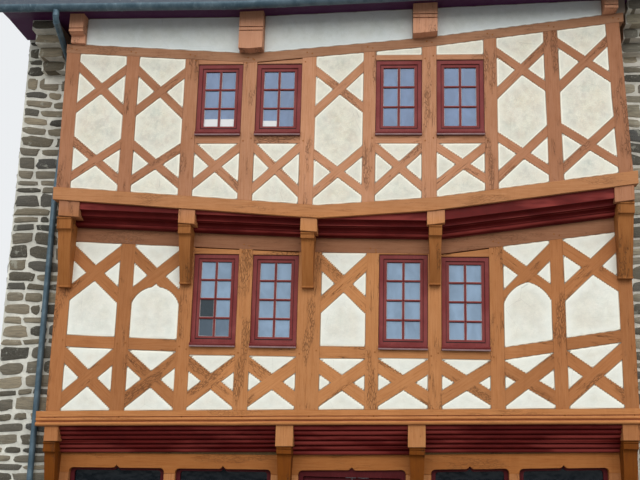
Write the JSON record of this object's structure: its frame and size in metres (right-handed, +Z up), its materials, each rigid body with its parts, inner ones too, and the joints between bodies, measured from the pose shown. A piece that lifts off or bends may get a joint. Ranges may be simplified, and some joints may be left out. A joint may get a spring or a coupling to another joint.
{
  "type": "half timbered house",
  "caption": "Terraced half timbered town house with stone gable walls, two jettied storeys of crossed braces and a shop front.",
  "frame": {"origin": "centre of the house's plan between the two stone gables, at ground level", "axes": "+X to the right along the street front as one faces it, +Y from the street front to the back, +Z up"},
  "size_m": [10.2231, 8.8, 13.3284],
  "materials": {
    "timber": "ochre painted oak",
    "plaster": "lime plaster",
    "dark_red": "dark red painted joinery",
    "stone": "rubble stone in lime mortar",
    "slate": "riven slate",
    "zinc": "weathered zinc",
    "glass": "window glass"
  },
  "bodies": {
    "house": {"ground_floor": "stone", "front_plinth": "stone", "ground_posts": "timber", "ground_beam": "timber", "shop_window_frames": "dark_red", "shop_glass": "glass", "door_frame": "dark_red", "consoles": "timber", "joist_ends": "timber", "jetty_mouldings": "dark_red", "first_floor_deck": "timber", "first_floor_sill": "timber", "first_floor_posts": "timber", "first_floor_rails": "timber", "first_floor_braces": "timber", "first_floor_infill": "plaster", "first_floor_plate": "timber", "first_floor_window_frames": "dark_red", "first_floor_glass": "glass", "second_floor_deck": "timber", "second_floor_sill": "timber", "second_floor_posts": "timber", "second_floor_rails": "timber", "second_floor_braces": "timber", "second_floor_infill": "plaster", "second_floor_plate": "timber", "second_floor_window_frames": "dark_red", "second_floor_glass": "glass", "jetty_cheeks": "timber", "tie_beams": "timber", "attic_floor": "timber", "eaves_plaster": "plaster", "eaves_boards": "dark_red", "gutters": "zinc", "downpipes": "zinc", "gable_walls": "stone", "rear_wall": "stone", "rear_window_frames": "dark_red", "rear_glass": "glass", "front_roof": "slate", "rear_roof": "slate", "ridge": "slate"},
    "left_door": {"left_door_leaf": "dark_red"},
    "right_door": {"right_door_leaf": "dark_red"}
  },
  "joints": [
    {"name": "left_door_hinge", "type": "hinge", "parent": "house", "child": "left_door", "pos_m": [-0.468, -3.36, 1.067], "axis": [0, 0, 1], "range_deg": [0, 90]},
    {"name": "right_door_hinge", "type": "hinge", "parent": "house", "child": "right_door", "pos_m": [0.873, -3.36, 1.067], "axis": [0, 0, -1], "range_deg": [0, 90]}
  ]
}
